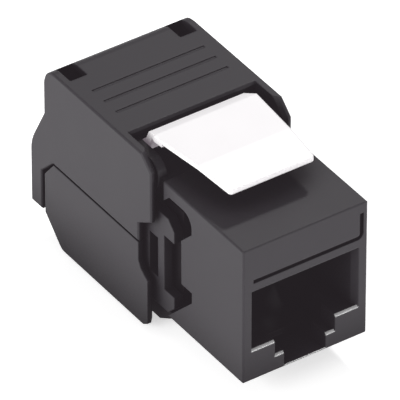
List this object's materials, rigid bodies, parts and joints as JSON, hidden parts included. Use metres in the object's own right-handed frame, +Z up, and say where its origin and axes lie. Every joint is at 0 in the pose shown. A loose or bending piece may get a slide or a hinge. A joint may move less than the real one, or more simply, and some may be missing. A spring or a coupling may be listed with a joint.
{
  "type": "keystone jack",
  "caption": "Tool-free keystone jack: a front housing with a modular plug port and a panel latch, and two hinged lids at the back that press the cable's wires onto forked contacts.",
  "frame": {"origin": "under the middle of the closed jack, on the lower lid's flat underside", "axes": "+Z up towards the panel latch; +Y from the plug port to the cable entry; the jack is the same on both sides of X = 0, apart from the groove on its face"},
  "size_m": [0.0166, 0.0358, 0.0223],
  "materials": {
    "black_plastic": "moulded, fine satin",
    "lid_plastic": "moulded, fine satin",
    "white_plastic": "moulded, smooth satin",
    "carrier_plastic": "moulded, matte",
    "board": "solder mask over glass laminate",
    "gilt": "gilt, polished",
    "tinned": "tinned bronze"
  },
  "bodies": {
    "housing": {"front_housing": "black_plastic", "terminal_block": "black_plastic", "contact_carrier": "carrier_plastic", "circuit_board": "board", "idc_contact_1": "tinned", "idc_contact_2": "tinned", "idc_contact_3": "tinned", "idc_contact_4": "tinned", "idc_contact_5": "tinned", "idc_contact_6": "tinned", "idc_contact_7": "tinned", "idc_contact_8": "tinned"},
    "upper_lid": {"upper_lid": "lid_plastic"},
    "lower_lid": {"lower_lid": "lid_plastic"},
    "latch": {"keystone_latch": "white_plastic"},
    "spring_1": {"contact_spring_1": "gilt"},
    "spring_2": {"contact_spring_2": "gilt"},
    "spring_3": {"contact_spring_3": "gilt"},
    "spring_4": {"contact_spring_4": "gilt"},
    "spring_5": {"contact_spring_5": "gilt"},
    "spring_6": {"contact_spring_6": "gilt"},
    "spring_7": {"contact_spring_7": "gilt"},
    "spring_8": {"contact_spring_8": "gilt"}
  },
  "joints": [
    {"name": "upper_lid_hinge", "type": "hinge", "parent": "housing", "child": "upper_lid", "pos_m": [0, -0.00161, 0.01877], "axis": [1, 0, 0], "range_deg": [0, 75]},
    {"name": "lower_lid_hinge", "type": "hinge", "parent": "housing", "child": "lower_lid", "pos_m": [0, -0.00092, 0.00487], "axis": [-1, 0, 0], "range_deg": [0, 85]},
    {"name": "latch_flex", "type": "hinge", "parent": "housing", "child": "latch", "pos_m": [0, 0.00279, 0.01962], "axis": [1, 0, 0], "range_deg": [0, 8], "stiffness_Nm_per_rad": 1.3},
    {"name": "spring_1_flex", "type": "hinge", "parent": "housing", "child": "spring_1", "pos_m": [-0.00357, -0.0012, 0.01018], "axis": [-1, 0, 0], "range_deg": [0, 6], "stiffness_Nm_per_rad": 0.08},
    {"name": "spring_2_flex", "type": "hinge", "parent": "housing", "child": "spring_2", "pos_m": [-0.00255, -0.0012, 0.01018], "axis": [-1, 0, 0], "range_deg": [0, 6], "stiffness_Nm_per_rad": 0.08},
    {"name": "spring_3_flex", "type": "hinge", "parent": "housing", "child": "spring_3", "pos_m": [-0.00153, -0.0012, 0.01018], "axis": [-1, 0, 0], "range_deg": [0, 6], "stiffness_Nm_per_rad": 0.08},
    {"name": "spring_4_flex", "type": "hinge", "parent": "housing", "child": "spring_4", "pos_m": [-0.00051, -0.0012, 0.01018], "axis": [-1, 0, 0], "range_deg": [0, 6], "stiffness_Nm_per_rad": 0.08},
    {"name": "spring_5_flex", "type": "hinge", "parent": "housing", "child": "spring_5", "pos_m": [0.00051, -0.0012, 0.01018], "axis": [-1, 0, 0], "range_deg": [0, 6], "stiffness_Nm_per_rad": 0.08},
    {"name": "spring_6_flex", "type": "hinge", "parent": "housing", "child": "spring_6", "pos_m": [0.00153, -0.0012, 0.01018], "axis": [-1, 0, 0], "range_deg": [0, 6], "stiffness_Nm_per_rad": 0.08},
    {"name": "spring_7_flex", "type": "hinge", "parent": "housing", "child": "spring_7", "pos_m": [0.00255, -0.0012, 0.01018], "axis": [-1, 0, 0], "range_deg": [0, 6], "stiffness_Nm_per_rad": 0.08},
    {"name": "spring_8_flex", "type": "hinge", "parent": "housing", "child": "spring_8", "pos_m": [0.00357, -0.0012, 0.01018], "axis": [-1, 0, 0], "range_deg": [0, 6], "stiffness_Nm_per_rad": 0.08}
  ]
}
